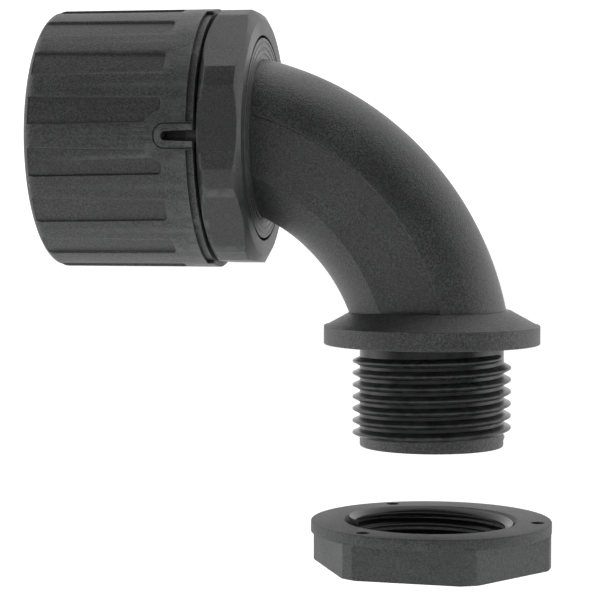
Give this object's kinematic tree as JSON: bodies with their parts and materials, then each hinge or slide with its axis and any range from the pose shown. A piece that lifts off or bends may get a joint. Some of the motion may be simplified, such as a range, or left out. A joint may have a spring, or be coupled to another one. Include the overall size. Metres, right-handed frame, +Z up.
{
  "type": "cable gland",
  "caption": "Curved-elbow gland for corrugated conduit, with a snap-fit locking cap, octagonal collar, panel flange, threaded stub and locknut.",
  "frame": {"origin": "centre of the flange's underside, where it seats on the panel, on the thread's axis", "axes": "+Z up the thread's axis, away from the panel hole; the conduit socket opens towards -X; the bend lies in the XZ plane"},
  "size_m": [0.0635, 0.0326, 0.07],
  "materials": {
    "elbow_nylon": "fine spark-eroded texture, satin",
    "head_nylon": "smooth satin",
    "seal_rubber": "matt",
    "thrust_ring_nylon": "smooth satin",
    "claw_ring_acetal": "smooth, slightly glossy",
    "cap_nylon": "satin, with textured finger panels",
    "locknut_nylon": "matt"
  },
  "bodies": {
    "fitting": {"elbow_body": "elbow_nylon", "socket_head": "head_nylon", "conduit_seal": "seal_rubber", "thrust_ring": "thrust_ring_nylon"},
    "grip": {"claw_ring": "claw_ring_acetal"},
    "cap": {"locking_cap": "cap_nylon"},
    "nut": {"locknut": "locknut_nylon"}
  },
  "joints": [
    {"name": "cap_release", "type": "slide", "parent": "fitting", "child": "grip", "axis": [-1, 0, 0], "range_m": [0, 0.003]},
    {"name": "cap_spin", "type": "hinge", "parent": "grip", "child": "cap", "pos_m": [-0.02129, 0, 0.02576], "axis": [-1, 0, 0], "continuous": true},
    {"name": "locknut_travel", "type": "slide", "parent": "fitting", "child": "nut", "axis": [0, 0, 1], "range_m": [0, 0.021]}
  ]
}
